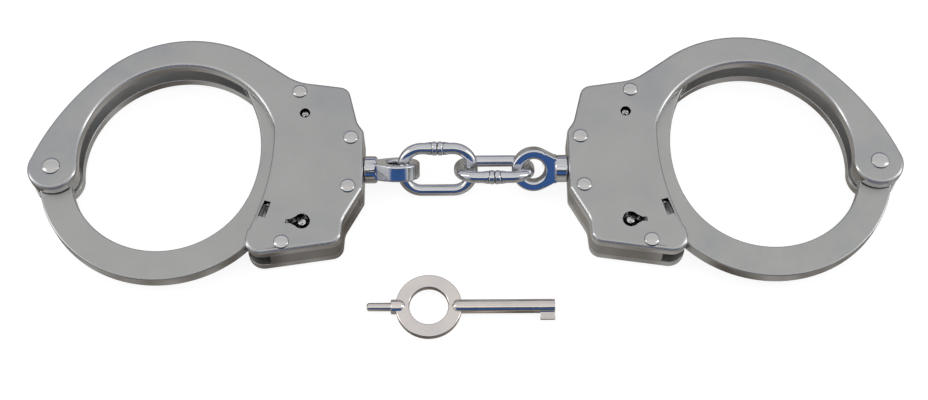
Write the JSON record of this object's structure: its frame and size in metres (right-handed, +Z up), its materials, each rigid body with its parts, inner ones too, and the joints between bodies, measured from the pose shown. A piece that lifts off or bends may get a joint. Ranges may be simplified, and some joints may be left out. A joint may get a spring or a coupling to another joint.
{
  "type": "handcuffs",
  "caption": "Chain-linked steel handcuffs with swing-through ratchet strands, double-lock cases, swivels and a loose ring-bow key, lying flat.",
  "frame": {"origin": "middle of the bounding box of the cuffs and their key, on the surface that they lie on", "axes": "+X along the chain from the left cuff to the right one, +Y across the cuffs towards their arms, +Z up, out of the surface they lie on"},
  "size_m": [0.2412, 0.0874, 0.013],
  "materials": {
    "cheek_steel": "tumbled satin stainless steel with bright rounded edges",
    "strand_steel": "satin stainless steel with a brighter edge",
    "rivet_steel": "burnished domed steel",
    "case_wall_steel": "dull steel, darker in the gap",
    "lock_steel": "plain hardened steel",
    "spring_steel": "blued spring strip",
    "chain_steel": "mirror polished",
    "key_nickel": "nickel plate, lightly worn"
  },
  "bodies": {
    "left_frame": {"left_front_cheek": "cheek_steel", "left_rear_cheek": "cheek_steel", "left_pivot_rivet": "rivet_steel", "left_case_rivets": "rivet_steel", "left_upper_spacer": "case_wall_steel", "left_lower_spacer": "case_wall_steel", "left_swivel_block": "case_wall_steel", "left_pawl_pin": "rivet_steel", "left_pawl_spring": "spring_steel", "left_detent_spring": "spring_steel", "left_keyhole_post": "rivet_steel"},
    "left_strand": {"left_strand": "strand_steel"},
    "left_pawl": {"left_pawl": "lock_steel"},
    "left_lock_bar": {"left_lock_bar": "lock_steel"},
    "left_lock_plunger": {"left_lock_plunger": "rivet_steel"},
    "left_swivel": {"left_swivel": "chain_steel", "left_swivel_washer": "chain_steel"},
    "chain_link_left": {"chain_link_left": "chain_steel"},
    "chain_link_right": {"chain_link_right": "chain_steel"},
    "right_frame": {"right_front_cheek": "cheek_steel", "right_rear_cheek": "cheek_steel", "right_pivot_rivet": "rivet_steel", "right_case_rivets": "rivet_steel", "right_upper_spacer": "case_wall_steel", "right_lower_spacer": "case_wall_steel", "right_swivel_block": "case_wall_steel", "right_pawl_pin": "rivet_steel", "right_pawl_spring": "spring_steel", "right_detent_spring": "spring_steel", "right_keyhole_post": "rivet_steel"},
    "right_strand": {"right_strand": "strand_steel"},
    "right_pawl": {"right_pawl": "lock_steel"},
    "right_lock_bar": {"right_lock_bar": "lock_steel"},
    "right_lock_plunger": {"right_lock_plunger": "rivet_steel"},
    "right_swivel": {"right_swivel": "chain_steel", "right_swivel_washer": "chain_steel"},
    "key": {"key_ring": "key_nickel", "key_barrel": "key_nickel", "key_actuator_pin": "key_nickel"}
  },
  "joints": [
    {"name": "left_strand_swing", "type": "hinge", "parent": "left_frame", "child": "left_strand", "pos_m": [-0.1139, 0.00343, 0.0064], "axis": [0, 0, 1], "continuous": true},
    {"name": "left_pawl_pivot", "type": "hinge", "parent": "left_frame", "child": "left_pawl", "pos_m": [-0.0439, 0.01243, 0.0064], "axis": [0, 0, 1], "range_deg": [-4.4, 0]},
    {"name": "left_lock_bar_slide", "type": "slide", "parent": "left_frame", "child": "left_lock_bar", "axis": [0, 1, 0], "range_m": [-0.004, 0]},
    {"name": "left_plunger_push", "type": "slide", "parent": "left_frame", "child": "left_lock_plunger", "axis": [0, 0, 1], "range_m": [-0.0008, 0]},
    {"name": "left_swivel_spin", "type": "hinge", "parent": "left_frame", "child": "left_swivel", "pos_m": [-0.0283, 0.00443, 0.0064], "axis": [1, 0, 0], "continuous": true},
    {"name": "left_link_swing", "type": "hinge", "parent": "left_swivel", "child": "chain_link_left", "pos_m": [-0.0175, 0.00443, 0.0064], "axis": [0, 0.6691, 0.7431], "range_deg": [-45, 45]},
    {"name": "middle_link_swing", "type": "hinge", "parent": "chain_link_left", "child": "chain_link_right", "pos_m": [-0.0017, 0.00443, 0.0064], "axis": [0, -0.7431, 0.6691], "range_deg": [-45, 45]},
    {"name": "right_eye_swing", "type": "hinge", "parent": "chain_link_right", "child": "right_swivel", "pos_m": [0.0175, 0.00443, 0.0064], "axis": [0, -0.7431, 0.6691], "range_deg": [-45, 45]},
    {"name": "right_swivel_spin", "type": "hinge", "parent": "right_swivel", "child": "right_frame", "pos_m": [0.0283, 0.00443, 0.0064], "axis": [1, 0, 0], "continuous": true},
    {"name": "right_strand_swing", "type": "hinge", "parent": "right_frame", "child": "right_strand", "pos_m": [0.1139, 0.00343, 0.0064], "axis": [0, 0, -1], "continuous": true},
    {"name": "right_pawl_pivot", "type": "hinge", "parent": "right_frame", "child": "right_pawl", "pos_m": [0.0439, 0.01243, 0.0064], "axis": [0, 0, -1], "range_deg": [-4.4, 0]},
    {"name": "right_lock_bar_slide", "type": "slide", "parent": "right_frame", "child": "right_lock_bar", "axis": [0, 1, 0], "range_m": [-0.004, 0]},
    {"name": "right_plunger_push", "type": "slide", "parent": "right_frame", "child": "right_lock_plunger", "axis": [0, 0, -1], "range_m": [-0.0008, 0]},
    {"name": "key_lift", "type": "slide", "parent": "left_frame", "child": "key", "axis": [0, 0, 1], "range_m": [0, 0.06]}
  ],
  "couplings": [
    {"joint": "left_lock_bar_slide", "follows": "left_pawl_pivot", "m_per_rad": 0.052},
    {"joint": "left_plunger_push", "follows": "left_pawl_pivot", "m_per_rad": 0.0104},
    {"joint": "right_lock_bar_slide", "follows": "right_pawl_pivot", "m_per_rad": 0.052},
    {"joint": "right_plunger_push", "follows": "right_pawl_pivot", "m_per_rad": 0.0104}
  ]
}
